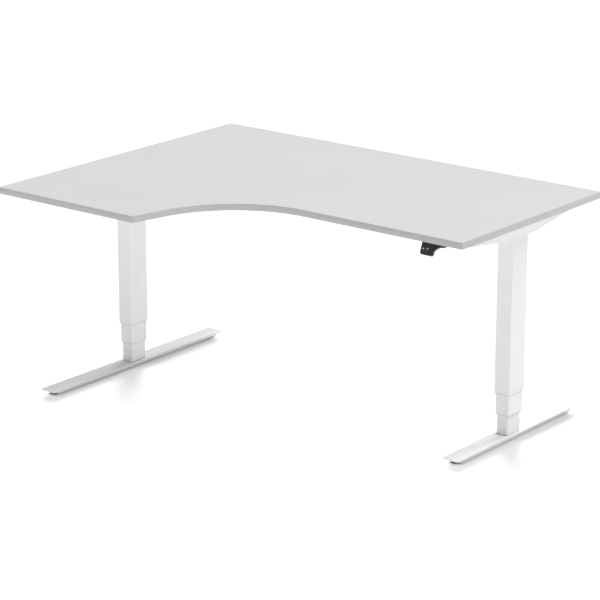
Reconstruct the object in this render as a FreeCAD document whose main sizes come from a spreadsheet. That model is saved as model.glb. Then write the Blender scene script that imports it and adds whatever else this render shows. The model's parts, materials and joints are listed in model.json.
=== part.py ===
import FreeCAD, Part

import math
import os
import re

import Sketcher

# Height adjustable corner desk: two three-stage lifting columns on T feet carry
# a swept desk top.  Millimetres, +Z up, +X to the user's right, +Y to the back.
# The origin is on the floor under the centre of the top's outer rectangle.

Vec = FreeCAD.Vector
os.makedirs("parts", exist_ok=True)
doc = FreeCAD.newDocument("standing_desk")

# ---------------------------------------------------------------- driving sizes
SIZES = (
    ("desk_height", 768, "floor to the top surface, as it stands"),
    ("top_width", 1600, "left to right"),
    ("top_depth", 1200, "depth at the left, return included"),
    ("main_depth", 800, "depth at the right"),
    ("return_width", 600, "front edge of the return"),
    ("straight_front", 625, "straight front edge, from the right corner"),
    ("sweep_radius", 355, "radius of the swept inner corner"),
    ("top_thick", 22, "desk top"),
    ("band_thick", 2, "edge band"),
    ("left_leg_inset", 42, "left edge to the left column's axis"),
    ("right_leg_inset", 85, "right edge to the right column's axis"),
    ("left_leg_back", 596, "back edge to the left column's axis"),
    ("right_leg_back", 394, "back edge to the right column's axis"),
    ("outer_wide", 60, "outer tube, along X"),
    ("outer_deep", 90, "outer tube, along Y"),
    ("outer_round", 5, "outer tube, corner radius"),
    ("outer_length", 527, "outer tube"),
    ("tube_wall", 1.8, "all three tubes"),
    ("stage_gap", 2.2, "between one tube's inside and the next tube"),
    ("middle_length", 410, "middle tube"),
    ("inner_length", 388, "inner tube"),
    ("stage_split", 0.49, "share of the open stages that shows the inner tube"),
    ("glide_clear", 0.1, "glide to the tube that runs in it"),
    ("glide_high", 30, "glide pads"),
    ("glide_recess", 1.5, "tube mouth to glide pads"),
    ("carrier_high", 18, "nut carrier on top of a tube"),
    ("carrier_clear", 0.2, "nut carrier to the tube around it"),
    ("arm_depth_mid", 60, "side arm at the column"),
    ("arm_depth_end", 24, "side arm at its ends"),
    ("arm_flat", 96, "level stretch of the arm's lower edge"),
    ("arm_sheet", 2.5, "side arm sheet"),
    ("left_arm_length", 900, "left side arm"),
    ("right_arm_length", 640, "right side arm"),
    ("spigot_high", 22, "column head, inside the outer tube"),
    ("motor_wide", 50, "gear motor, along X"),
    ("motor_deep", 78, "gear motor, along Y"),
    ("motor_high", 106, "gear motor"),
    ("gear_high", 40, "gear case of the gear motor"),
    ("motor_top_gap", 28, "desk underside to the gear motor"),
    ("motor_clear", 0.2, "gear motor to the column head"),
    ("spindle_offset", 18, "column axis to each spindle"),
    ("spindle_radius", 8, "lifting spindles"),
    ("thread_clear", 0.05, "spindle to nut"),
    ("upper_spindle_length", 380, "spindle that moves the upper stage"),
    ("lower_spindle_length", 370, "spindle that moves the lower stage"),
    ("rod_radius", 4, "hexagonal drive rod, across its corners"),
    ("rod_length", 388, "hexagonal drive rod"),
    ("spindle_bore", 4.6, "radius of the bore that the drive rod slides in"),
    ("collar_radius", 12, "collar of the lower spindle"),
    ("collar_high", 4, "collar of the lower spindle"),
    ("spindle_play", 0.3, "spindle to gear motor, end to end"),
    ("foot_top", 18, "floor to the top of a foot"),
    ("foot_wide", 62, "foot plate"),
    ("foot_sheet", 4, "foot plate"),
    ("left_foot_length", 890, "left foot plate"),
    ("right_foot_length", 690, "right foot plate"),
    ("left_foot_shift", 0, "column axis to the foot's middle, towards the back"),
    ("right_foot_shift", 14, "column axis to the foot's middle, towards the back"),
    ("beam_inset", 3, "foot plate's side to the beam under it"),
    ("beam_end_inset", 25, "foot plate's end to the beam under it"),
    ("beam_gap", 6, "floor to the beam"),
    ("beam_wall", 2.5, "beam under the foot plate"),
    ("base_high", 8, "plate in the inner tube's lower end"),
    ("foot_bolt_pitch", 44, "bolts of one column"),
    ("foot_bolt_radius", 4, "bolts of one column"),
    ("pad_radius", 16, "levelling foot"),
    ("pad_high", 4, "levelling foot"),
    ("pad_inset", 34, "foot plate's end to the levelling foot's axis"),
    ("stud_radius", 4, "levelling foot's stud"),
    ("stud_foot", 2, "floor to the stud's lower end, inside the pad"),
    ("stud_clear", 0.6, "stud to the foot plate"),
    ("boss_radius", 8, "threaded boss for the stud"),
    ("stop_gap", 0.3, "levelling foot's collar to the beam"),
    ("front_rail_back", 530, "back edge to the front rail"),
    ("back_rail_back", 270, "back edge to the back rail"),
    ("rail_wide", 40, "rail sleeve, along Y"),
    ("rail_high", 25, "rail sleeve"),
    ("rail_wall", 1.5, "both rail tubes"),
    ("rail_fit", 0.3, "rail tube to its sleeve"),
    ("rail_drop", 9, "desk underside to the rails"),
    ("rail_overlap", 220, "rail tube inside its sleeve"),
    ("rail_end", 9.5, "end plate of a rail"),
    ("rail_screw_pitch", 22, "two screws in a rail's end"),
    ("box_x", -100, "control box, centre"),
    ("box_back", 400, "back edge to the control box's centre"),
    ("box_wide", 240, "control box, along X"),
    ("box_deep", 100, "control box, along Y"),
    ("box_high", 38, "control box"),
    ("box_wall", 2, "control box"),
    ("socket_wide", 15, "lead socket"),
    ("socket_high", 12, "lead socket"),
    ("socket_pitch", 30, "lead sockets"),
    ("inlet_wide", 28, "mains inlet"),
    ("inlet_high", 20, "mains inlet"),
    ("motor_lead_radius", 2.5, "motor leads"),
    ("handset_lead_radius", 2, "handset lead"),
    ("lane_gap", 38, "control box to the left motor lead's straight run"),
    ("handset_x", 642, "left side of the handset"),
    ("handset_setback", 10, "main front edge to the handset's face, at the top"),
    ("handset_wide", 46, "handset"),
    ("handset_drop", 42, "handset, down its face"),
    ("handset_thick", 13, "handset, through its face"),
    ("handset_wing", 78, "left side to the tip of the wing"),
    ("handset_lean", 22, "degrees that the face leans forward"),
    ("face_inset", 2.5, "handset's side to its face plate"),
    ("face_thick", 1.2, "handset's face plate"),
    ("key_wide", 13, "handset keys"),
    ("key_high", 20, "handset keys"),
    ("key_thick", 4, "handset keys"),
    ("key_proud", 0.6, "handset keys"),
    ("key_pitch", 15.5, "handset keys"),
    ("key_gap", 0.35, "key to face plate"),
)
sheet = doc.addObject("Spreadsheet::Sheet", "sizes")
for row, (name, value, note) in enumerate(SIZES, 1):
    sheet.set(f"A{row}", name)
    sheet.set(f"B{row}", str(value))
    sheet.set(f"C{row}", note)
    sheet.setAlias(f"B{row}", name)
doc.recompute()
NAMES = {name for name, value, note in SIZES}

# ---------------------------------------------------------- derived expressions
UNDER = "(desk_height - top_thick)"
COLUMN_TOP = f"({UNDER} - arm_depth_mid)"
OUTER_FOOT = f"({COLUMN_TOP} - outer_length)"
MIDDLE_FOOT = f"(foot_top + ({OUTER_FOOT} - foot_top) * stage_split)"
MIDDLE_WIDE = "(outer_wide - 2 * tube_wall - 2 * stage_gap)"
MIDDLE_DEEP = "(outer_deep - 2 * tube_wall - 2 * stage_gap)"
INNER_WIDE = "(outer_wide - 4 * tube_wall - 4 * stage_gap)"
INNER_DEEP = "(outer_deep - 4 * tube_wall - 4 * stage_gap)"
MOTOR_FOOT = f"({UNDER} - motor_top_gap - motor_high)"
SPINDLE_TOP = f"({MOTOR_FOOT} - spindle_play)"
MIDDLE_HEAD = f"({MIDDLE_FOOT} + middle_length)"
INNER_HEAD = "(foot_top + inner_length)"
ARM_TOP = f"({UNDER} - arm_sheet)"
BEAM_TOP = "(foot_top - foot_sheet)"
RAIL_TOP = f"({UNDER} - rail_drop)"
FRONT_Y = "(top_depth / 2 - main_depth)"
LEGS = {
    "left": ("(left_leg_inset - top_width / 2)", "(top_depth / 2 - left_leg_back)"),
    "right": ("(top_width / 2 - right_leg_inset)", "(top_depth / 2 - right_leg_back)"),
}


# --------------------------------------------------------------------- helpers
def bound(words):
    """A size expression in the sheet's names, as the document reads it."""
    return re.sub(r"[a-z]\w*", lambda m: "sizes." + m.group() if m.group() in NAMES
                  else m.group(), words)


def number(words):
    """The value of a size expression."""
    return float(probe.evalExpression(bound(words)))


def bind(item, prop, words):
    item.setExpression(prop, bound(str(words)))


def place(item, x, y, z):
    for axis, words in zip("xyz", (x, y, z)):
        bind(item, f"Placement.Base.{axis}", words)
    return item


def block(name, wide, deep, high, x, y, z):
    """A box centred on x and y that stands on z."""
    item = doc.addObject("Part::Box", name)
    bind(item, "Length", wide)
    bind(item, "Width", deep)
    bind(item, "Height", high)
    return place(item, f"{x} - ({wide}) / 2", f"{y} - ({deep}) / 2", z)


def round_bar(name, radius, length, x, y, z, along="z"):
    """A cylinder that starts at a point and runs along +X, +Y or +Z."""
    item = doc.addObject("Part::Cylinder", name)
    bind(item, "Radius", radius)
    bind(item, "Height", length)
    turn = {"x": (Vec(0, 1, 0), 90), "y": (Vec(1, 0, 0), -90), "z": (Vec(0, 0, 1), 0)}
    item.Placement = FreeCAD.Placement(Vec(), FreeCAD.Rotation(*turn[along]))
    return place(item, x, y, z)


def group(name, parts):
    item = doc.addObject("Part::Compound", name)
    item.Links = parts
    return item


def join(name, *parts):
    item = doc.addObject("Part::MultiFuse", name)
    item.Shapes = list(parts)
    return item


def cut(name, base, *tools):
    item = doc.addObject("Part::Cut", name)
    item.Base = base
    item.Tool = tools[0] if len(tools) == 1 else group(name + "_tools", list(tools))
    return item


nodes = []


def node(item, label):
    """Names a finished sub-part: its label is its file's name."""
    item.Label = label
    nodes.append(item)
    return item


def plane_of(body, role):
    return next(f for f in body.Origin.OriginFeatures if f.Role == role)


def sketch_on(body, name, role):
    sketch = body.newObject("Sketcher::SketchObject", name)
    sketch.AttachmentSupport = [(plane_of(body, role), "")]
    sketch.MapMode = "FlatFace"
    return sketch


def limit(sketch, kind, first, words):
    """A named distance from the sketch's origin to a point, either side of it."""
    value = number(words)
    if abs(value) < 1e-9:
        axis = -2 if kind == "DistanceX" else -1
        sketch.addConstraint(Sketcher.Constraint("PointOnObject", *first, axis))
        return
    ends = ((-1, 1), first) if value > 0 else (first, (-1, 1))
    at = sketch.addConstraint(Sketcher.Constraint(kind, *ends[0], *ends[1], abs(value)))
    sketch.setExpression(f"Constraints[{at}]", bound(words if value > 0 else f"-({words})"))


def polygon(sketch, corners):
    """A closed outline whose corners are pairs of size expressions."""
    points = [Vec(number(x), number(y), 0) for x, y in corners]
    count = len(points)
    first = sketch.GeometryCount
    for i in range(count):
        sketch.addGeometry(Part.LineSegment(points[i], points[(i + 1) % count]))
    for i, (x, y) in enumerate(corners):
        after = first + (i + 1) % count
        sketch.addConstraint(Sketcher.Constraint("Coincident", first + i, 2, after, 1))
        limit(sketch, "DistanceX", (first + i, 1), x)
        limit(sketch, "DistanceY", (first + i, 1), y)


def rounded(sketch, wide, deep, radius):
    """A rectangle with round corners, centred on the sketch's origin."""
    a, b, r = number(wide) / 2, number(deep) / 2, number(radius)
    first = sketch.GeometryCount
    ends = (((r - a, -b), (a - r, -b)), ((a, r - b), (a, b - r)),
            ((a - r, b), (r - a, b)), ((-a, b - r), (-a, r - b)))
    centres = ((a - r, r - b), (a - r, b - r), (r - a, b - r), (r - a, r - b))
    for start, end in ends:
        sketch.addGeometry(Part.LineSegment(Vec(*start, 0), Vec(*end, 0)))
    for i, centre in enumerate(centres):
        circle = Part.Circle(Vec(*centre, 0), Vec(0, 0, 1), r)
        start = math.radians(90 * i - 90)
        sketch.addGeometry(Part.ArcOfCircle(circle, start, start + math.pi / 2))
    for i in range(4):
        line, arc, after = first + i, first + 4 + i, first + (i + 1) % 4
        sketch.addConstraint(Sketcher.Constraint("Tangent", line, 2, arc, 1))
        sketch.addConstraint(Sketcher.Constraint("Tangent", arc, 2, after, 1))
        if i:
            sketch.addConstraint(Sketcher.Constraint("Equal", first + 4, arc))
    for i, kind in enumerate(("Horizontal", "Vertical")):
        sketch.addConstraint(Sketcher.Constraint(kind, first + i))
        sketch.addConstraint(Sketcher.Constraint(kind, first + i + 2))
    limit(sketch, "DistanceX", (first + 1, 1), f"({wide}) / 2")
    limit(sketch, "DistanceX", (first + 3, 1), f"-({wide}) / 2")
    limit(sketch, "DistanceY", (first, 1), f"-({deep}) / 2")
    limit(sketch, "DistanceY", (first + 2, 1), f"({deep}) / 2")
    at = sketch.addConstraint(Sketcher.Constraint("Radius", first + 4, r))
    sketch.setExpression(f"Constraints[{at}]", bound(radius))


def rounded_body(name, loops, high, x, y, z):
    """An upright prism of round-cornered loops: one is solid, two make a tube."""
    body = doc.addObject("PartDesign::Body", name)
    sketch = sketch_on(body, name + "_section", "XY_Plane")
    for wide, deep, radius in loops:
        rounded(sketch, wide, deep, radius)
    pad = body.newObject("PartDesign::Pad", name + "_pad")
    pad.Profile = sketch
    bind(pad, "Length", high)
    return place(body, x, y, z)


def tube(name, wide, deep, radius, high, x, y, z):
    bore = (f"{wide} - 2 * tube_wall", f"{deep} - 2 * tube_wall", f"{radius} - tube_wall")
    return rounded_body(name, ((wide, deep, radius), bore), high, x, y, z)


probe = doc.addObject("Part::Box", "probe")


# -------------------------------------------------------------------- desk top
def top_outline():
    """The swept outline: the arc meets the front edge and leans into the return."""
    sketch = doc.addObject("Sketcher::SketchObject", "top_outline")
    half, back = number("top_width / 2"), number("top_depth / 2")
    radius = number("sweep_radius")
    meet = Vec(half - number("straight_front"), number(FRONT_Y), 0)
    centre = meet - Vec(0, radius, 0)
    tip = Vec(number("return_width") - half, -back, 0)
    away = tip - centre
    angle = math.atan2(away.y, away.x) - math.acos(min(1, radius / away.Length))
    joint = centre + Vec(math.cos(angle), math.sin(angle), 0) * radius
    corners = (Vec(-half, -back, 0), tip, joint, meet, Vec(half, meet.y, 0),
               Vec(half, back, 0), Vec(-half, back, 0))
    for start, end in ((0, 1), (1, 2), (3, 4), (4, 5), (5, 6), (6, 0)):
        sketch.addGeometry(Part.LineSegment(corners[start], corners[end]))
    circle = Part.Circle(centre, Vec(0, 0, 1), radius)
    arc = sketch.addGeometry(Part.ArcOfCircle(circle, math.pi / 2, angle + 2 * math.pi))
    for line, kind in ((0, "Horizontal"), (2, "Horizontal"), (3, "Vertical"),
                       (4, "Horizontal"), (5, "Vertical")):
        sketch.addConstraint(Sketcher.Constraint(kind, line))
    for first, second in ((0, 1), (2, 3), (3, 4), (4, 5), (5, 0)):
        sketch.addConstraint(Sketcher.Constraint("Coincident", first, 2, second, 1))
    sketch.addConstraint(Sketcher.Constraint("Tangent", arc, 1, 2, 1))
    sketch.addConstraint(Sketcher.Constraint("Tangent", arc, 2, 1, 2))
    at = sketch.addConstraint(Sketcher.Constraint("Radius", arc, radius))
    sketch.setExpression(f"Constraints[{at}]", bound("sweep_radius"))
    limit(sketch, "DistanceX", (0, 1), "-top_width / 2")
    limit(sketch, "DistanceY", (0, 1), "-top_depth / 2")
    limit(sketch, "DistanceX", (1, 1), "return_width - top_width / 2")
    limit(sketch, "DistanceX", (2, 1), "top_width / 2 - straight_front")
    limit(sketch, "DistanceY", (2, 2), FRONT_Y)
    limit(sketch, "DistanceX", (4, 1), "top_width / 2")
    limit(sketch, "DistanceY", (4, 1), "top_depth / 2")
    return sketch


def slab(name, base):
    item = doc.addObject("Part::Extrusion", name)
    item.Base = base
    item.DirMode = "Custom"
    item.Dir = Vec(0, 0, 1)
    item.Solid = True
    bind(item, "LengthFwd", "top_thick")
    return place(item, "0", "0", UNDER)


def screw(name, head_radius, head_high, shank_radius, shank_length, x, y, z, along, way):
    """A screw whose head's bearing face is at the point; way points from head to tip."""
    starts = []
    for length, step in ((head_high, -way), (shank_length, way)):
        shift = f" - ({length})" if step < 0 else ""
        starts.append([words + (shift if axis == along else "")
                       for axis, words in zip("xyz", (x, y, z))])
    head = round_bar(name + "_head", head_radius, head_high, *starts[0], along)
    shank = round_bar(name + "_shank", shank_radius, shank_length, *starts[1], along)
    return join(name, head, shank)


TOP_SCREW = {"head_radius": "6", "head_high": "3.5", "shank_radius": "2.5",
             "shank_length": "16"}
ARM_SHARES = ("-0.44", "-0.2", "0.2", "0.44")


def top_screw_places():
    for side, (x, y) in LEGS.items():
        for share in ARM_SHARES:
            yield side, x, f"{y} + {share} * {side}_arm_length"


def desk_top():
    outline = top_outline()
    inset = doc.addObject("Part::Offset2D", "panel_outline")
    inset.Source = outline
    inset.Join = 2
    bind(inset, "Value", "-band_thick")
    screws, pilots = [], []
    for i, (side, x, y) in enumerate(top_screw_places()):
        screws.append(screw(f"top_screw{i}", **TOP_SCREW, x=x, y=y, z=ARM_TOP,
                            along="z", way=1))
        pilots.append(round_bar(f"pilot{i}", TOP_SCREW["shank_radius"],
                                TOP_SCREW["shank_length"], x, y, ARM_TOP))
    for i, (x, y, z) in enumerate(box_screw_places() + handset_screw_places()):
        pilots.append(round_bar(f"small_pilot{i}", SMALL_SCREW["shank_radius"],
                                SMALL_SCREW["shank_length"], x, y, z))
    blank = slab("panel_blank", inset)
    node(cut("panel", blank, *pilots), "tabletop_panel")
    node(cut("band", slab("band_blank", outline), slab("band_core", inset)), "edge_band")
    node(group("top_screws", screws), "tabletop_screws")


# ------------------------------------------------------------------- side arms
FRAME_SCREW = {"head_radius": "5.2", "head_high": "3.3", "shank_radius": "3",
               "shank_length": "arm_sheet + rail_end"}
ARM_SCREW_SPOTS = (("-30", "16"), ("30", "16"), ("-30", "46"), ("30", "46"))
ARM_HOLE = "3.25"
TOP_HOLE = "2.75"
LEAD_HOLE = "3.5"


def arm_face(side):
    """The x of the arm's inner face, and the way from it to the column's axis."""
    way = -1 if side == "left" else 1
    return f"({LEGS[side][0]} - {way} * outer_wide / 2)", way


def arm(side):
    """A folded channel, open below, deepest at the column."""
    x, y = LEGS[side]
    length = f"{side}_arm_length"
    body = doc.addObject("PartDesign::Body", side + "_arm_stock")
    profile = sketch_on(body, side + "_arm_profile", "YZ_Plane")
    polygon(profile, ((f"-{length} / 2", "0"), (f"-{length} / 2", "-arm_depth_end"),
                      ("-arm_flat / 2", "-arm_depth_mid"), ("arm_flat / 2", "-arm_depth_mid"),
                      (f"{length} / 2", "-arm_depth_end"), (f"{length} / 2", "0")))
    pad = body.newObject("PartDesign::Pad", side + "_arm_pad")
    pad.Profile = profile
    pad.Midplane = True
    bind(pad, "Length", "outer_wide")
    doc.recompute()
    edges = [f"Edge{i}" for i, edge in enumerate(pad.Shape.Edges, 1)
             if abs(edge.CenterOfMass.z) < 1e-6 and edge.Length > number(length) - 1]
    bend = body.newObject("PartDesign::Fillet", side + "_arm_bend")
    bend.Base = (pad, edges)
    bind(bend, "Radius", "arm_sheet")
    place(body, x, y, UNDER)
    channel = block(side + "_arm_channel", "outer_wide - 2 * arm_sheet", f"{length} + 10",
                    "arm_depth_mid", x, y, f"{ARM_TOP} - arm_depth_mid")
    face, way = arm_face(side)
    tools = [channel]
    for i, (along, down) in enumerate(ARM_SCREW_SPOTS):
        tools.append(round_bar(f"{side}_arm_hole{i}", ARM_HOLE, "2 * arm_sheet",
                               f"{face} - arm_sheet", f"{y} + {along}", f"{UNDER} - {down}", "x"))
    tools.append(round_bar(side + "_arm_lead_hole", LEAD_HOLE, "2 * arm_sheet",
                           f"{face} - arm_sheet", y, f"{UNDER} - rail_drop * 2", "x"))
    for rail in RAILS:
        for i, step in enumerate((-1, 1)):
            tools.append(round_bar(f"{side}_{rail}_hole{i}", ARM_HOLE, "2 * arm_sheet",
                                   f"{face} - arm_sheet", *rail_screw_spot(rail, step), "x"))
    for i, (owner, screw_x, screw_y) in enumerate(top_screw_places()):
        if owner == side:
            tools.append(round_bar(f"{side}_top_hole{i}", TOP_HOLE, "2 * arm_sheet",
                                   screw_x, screw_y, f"{ARM_TOP} - arm_sheet / 2"))
    node(cut(side + "_arm_part", body, *tools), side + "_side_arm")


def column_head(side):
    """A cast block in the arm, with a spigot in the outer tube and a motor pocket."""
    x, y = LEGS[side]
    upper = block(side + "_head_upper", "outer_wide - 2 * arm_sheet", "arm_flat - 10",
                  "arm_depth_mid - arm_sheet", x, y, COLUMN_TOP)
    spigot = rounded_body(side + "_spigot", (("outer_wide - 2 * tube_wall",
                          "outer_deep - 2 * tube_wall", "outer_round - tube_wall"),),
                          "spigot_high", x, y, f"{COLUMN_TOP} - spigot_high")
    pocket = block(side + "_motor_pocket", "motor_wide + 2 * motor_clear",
                   "motor_deep + 2 * motor_clear",
                   f"{UNDER} - motor_top_gap - {COLUMN_TOP} + spigot_high + motor_clear",
                   x, y, f"{COLUMN_TOP} - spigot_high")
    face, way = arm_face(side)
    tools = [pocket]
    start = face if way > 0 else f"{face} - ({FRAME_SCREW['shank_length']})"
    for i, (along, down) in enumerate(ARM_SCREW_SPOTS):
        tools.append(round_bar(f"{side}_head_hole{i}", FRAME_SCREW["shank_radius"],
                               FRAME_SCREW["shank_length"], start,
                               f"{y} + {along}", f"{UNDER} - {down}", "x"))
    body = join(side + "_head_blank", upper, spigot)
    node(cut(side + "_head_part", body, *tools), side + "_column_head")


# --------------------------------------------------------------------- columns
def glides(side, stage, wide, deep, foot, label):
    """Four flat pads in a tube's mouth; they stop short of the next tube."""
    x, y = LEGS[side]
    thick = "(stage_gap - glide_clear)"
    inside = f"({wide} - 2 * tube_wall)"
    inside_deep = f"({deep} - 2 * tube_wall)"
    level = f"{foot} + glide_recess"
    pads = []
    for i, sign in enumerate("-+"):
        pads.append(block(f"{side}_{stage}_pad{i}", thick, f"{deep} * 0.6", "glide_high",
                          f"{x} {sign} ({inside} / 2 - {thick} / 2)", y, level))
        pads.append(block(f"{side}_{stage}_end_pad{i}", f"{wide} * 0.5", thick, "glide_high",
                          x, f"{y} {sign} ({inside_deep} / 2 - {thick} / 2)", level))
    node(group(f"{side}_{stage}_glide_set", pads), label)


PLUG_DEEP = "4"
PLUG_CLEAR = "0.2"


def carrier(side, stage, wide, deep, radius, level, holes, label):
    """A plastic nut carrier: a plug in one tube that runs in the tube around it."""
    x, y = LEGS[side]
    around = "2 * stage_gap - 2 * carrier_clear"
    rim = rounded_body(f"{side}_{stage}_rim", ((f"{wide} + {around}", f"{deep} + {around}",
                       f"{radius} + stage_gap"),), f"carrier_high - {PLUG_DEEP}", x, y, level)
    plug = rounded_body(f"{side}_{stage}_plug", ((f"{wide} - 2 * tube_wall - {PLUG_CLEAR}",
                        f"{deep} - 2 * tube_wall - {PLUG_CLEAR}", f"{radius} - tube_wall"),),
                        f"{PLUG_DEEP} + 1", x, y, f"{level} - {PLUG_DEEP}")
    tools = [round_bar(f"{side}_{stage}_hole{i}", hole, "carrier_high + 10", x,
                       f"{y} + {shift}", f"{level} - 9") for i, (hole, shift) in enumerate(holes)]
    node(cut(f"{side}_{stage}_carrier", join(f"{side}_{stage}_blank", rim, plug), *tools), label)


def column(side):
    x, y = LEGS[side]
    outer = ("outer_wide", "outer_deep", "outer_round")
    middle = (MIDDLE_WIDE, MIDDLE_DEEP, "outer_round - 0.6")
    inner = (INNER_WIDE, INNER_DEEP, "outer_round - 1.2")
    node(tube(side + "_outer", *outer, "outer_length", x, y, OUTER_FOOT), side + "_outer_tube")
    node(tube(side + "_middle", *middle, "middle_length", x, y, MIDDLE_FOOT),
         side + "_middle_tube")
    node(tube(side + "_inner", *inner, "inner_length", x, y, "foot_top"), side + "_inner_tube")
    glides(side, "outer", *outer[:2], OUTER_FOOT, side + "_outer_glides")
    glides(side, "middle", *middle[:2], MIDDLE_FOOT, side + "_middle_glides")
    fit = "spindle_radius + thread_clear"
    carrier(side, "upper_nut", *middle, MIDDLE_HEAD,
            ((fit, "spindle_offset"), (fit, "-spindle_offset")), side + "_upper_nut")
    carrier(side, "lower_nut", *inner, INNER_HEAD,
            (("spindle_radius + 2", "spindle_offset"), (fit, "-spindle_offset")),
            side + "_lower_nut")


def drive(side):
    """Gear motor, both spindles and the rod that turns the lower spindle."""
    x, y = LEGS[side]
    case = block(side + "_gear_case", "motor_wide", "motor_deep", "gear_high", x, y, MOTOR_FOOT)
    can = round_bar(side + "_motor_can", "motor_wide / 2 - 1", "motor_high - gear_high",
                    x, y, f"{MOTOR_FOOT} + gear_high")
    node(join(side + "_motor", case, can), side + "_gear_motor")
    node(round_bar(side + "_upper_screw", "spindle_radius", "upper_spindle_length", x,
                   f"{y} + spindle_offset", f"{SPINDLE_TOP} - upper_spindle_length"),
         side + "_upper_spindle")
    rod = doc.addObject("Part::Prism", side + "_rod")
    rod.Polygon = 6
    bind(rod, "Circumradius", "rod_radius")
    bind(rod, "Height", "rod_length")
    place(rod, x, f"{y} - spindle_offset", f"{SPINDLE_TOP} - rod_length")
    node(rod, side + "_drive_rod")
    seat = f"({MIDDLE_HEAD} + carrier_high - {PLUG_DEEP} + thread_clear)"
    shaft = round_bar(side + "_lower_shaft", "spindle_radius", "lower_spindle_length", x,
                      f"{y} - spindle_offset", f"{seat} - lower_spindle_length")
    collar = round_bar(side + "_lower_collar", "collar_radius", "collar_high", x,
                       f"{y} - spindle_offset", seat)
    bore = round_bar(side + "_lower_bore", "spindle_bore",
                     "lower_spindle_length + collar_high + 2", x, f"{y} - spindle_offset",
                     f"{seat} - lower_spindle_length - 1")
    node(cut(side + "_lower_screw", join(side + "_lower_blank", shaft, collar), bore),
         side + "_lower_spindle")


# ------------------------------------------------------------------------ feet
FOOT_BOLT_HEAD = {"radius": "6.5", "high": "5"}
PLATE_ROUND = "3"
BASE_ROUND = "2"


def foot(side):
    x, y = LEGS[side]
    middle = f"({y} + {side}_foot_shift)"
    length = f"{side}_foot_length"
    beam_wide = "(foot_wide - 2 * beam_inset)"
    bolts, holes = [], []
    for i, sign in enumerate("-+"):
        spot = f"{y} {sign} foot_bolt_pitch / 2"
        bolts.append(screw(f"{side}_foot_bolt{i}", FOOT_BOLT_HEAD["radius"],
                           FOOT_BOLT_HEAD["high"], "foot_bolt_radius",
                           "beam_wall + foot_sheet + base_high", x, spot,
                           f"{BEAM_TOP} - beam_wall", "z", 1))
        holes.append(round_bar(f"{side}_foot_hole{i}", "foot_bolt_radius",
                               "foot_top + base_high", x, spot, "1"))
    node(group(side + "_foot_bolt_set", bolts), side + "_foot_bolts")
    plate = rounded_body(side + "_plate_blank", (("foot_wide", length, PLATE_ROUND),), "foot_sheet",
                         x, middle, BEAM_TOP)
    node(cut(side + "_plate", plate, *holes), side + "_foot_plate")
    base = rounded_body(side + "_base_blank", ((f"{INNER_WIDE} - 2 * tube_wall - {PLUG_CLEAR}",
                        f"{INNER_DEEP} - 2 * tube_wall - {PLUG_CLEAR}", BASE_ROUND),), "base_high", x, y, "foot_top")
    node(cut(side + "_base", base, *holes), side + "_base_plate")
    beam_length = f"({length} - 2 * beam_end_inset)"
    blank = block(side + "_beam_blank", beam_wide, beam_length, f"{BEAM_TOP} - beam_gap",
                  x, middle, "beam_gap")
    hollow = block(side + "_beam_hollow", f"{beam_wide} - 2 * beam_wall",
                   f"{beam_length} - 2 * beam_wall", f"{BEAM_TOP} - beam_gap - beam_wall + 5",
                   x, middle, "beam_gap - 5")
    channel = cut(side + "_channel", blank, hollow)
    bosses, studs = [], []
    for end, sign in (("front", "-"), ("back", "+")):
        spot = f"{middle} {sign} ({length} / 2 - pad_inset)"
        bosses.append(round_bar(f"{side}_{end}_boss", "boss_radius",
                                f"{BEAM_TOP} - beam_gap", x, spot, "beam_gap"))
        studs.append(round_bar(f"{side}_{end}_tapping", "stud_radius + thread_clear",
                               f"{BEAM_TOP} - stud_foot", x, spot, "stud_foot"))
        pad = round_bar(f"{side}_{end}_pad", "pad_radius", "pad_high", x, spot, "0")
        collar = round_bar(f"{side}_{end}_collar", "boss_radius - 1",
                           "beam_gap - stop_gap - pad_high", x, spot, "pad_high")
        stud = round_bar(f"{side}_{end}_stud", "stud_radius",
                         f"{BEAM_TOP} - stud_clear - stud_foot", x, spot, "stud_foot")
        node(join(f"{side}_{end}_level", pad, collar, stud), f"{side}_{end}_leveller")
    body = join(side + "_beam_body", channel, *bosses)
    node(cut(side + "_beam", body, *studs, *holes), side + "_foot_beam")


# ----------------------------------------------------------------------- rails
RAILS = ("front_rail", "back_rail")


def rail_screw_spot(rail, step):
    return (f"top_depth / 2 - {rail}_back + {step} * rail_screw_pitch / 2",
            f"{RAIL_TOP} - rail_high / 2")


def rail_tube(name, wide, high, start, length, y, solid_end):
    """A rail tube along +X, closed by an end plate at its arm."""
    middle = f"{RAIL_TOP} - rail_high / 2 - ({high}) / 2"
    skin = block(name + "_skin", length, wide, high, f"{start} + ({length}) / 2", y, middle)
    shift = "rail_end" if solid_end < 0 else "-rail_end"
    bore = block(name + "_bore", length, f"{wide} - 2 * rail_wall", f"{high} - 2 * rail_wall",
                 f"{start} + ({length}) / 2 + {shift}", y, f"{middle} + rail_wall")
    return cut(name + "_tube", skin, bore)


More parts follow.
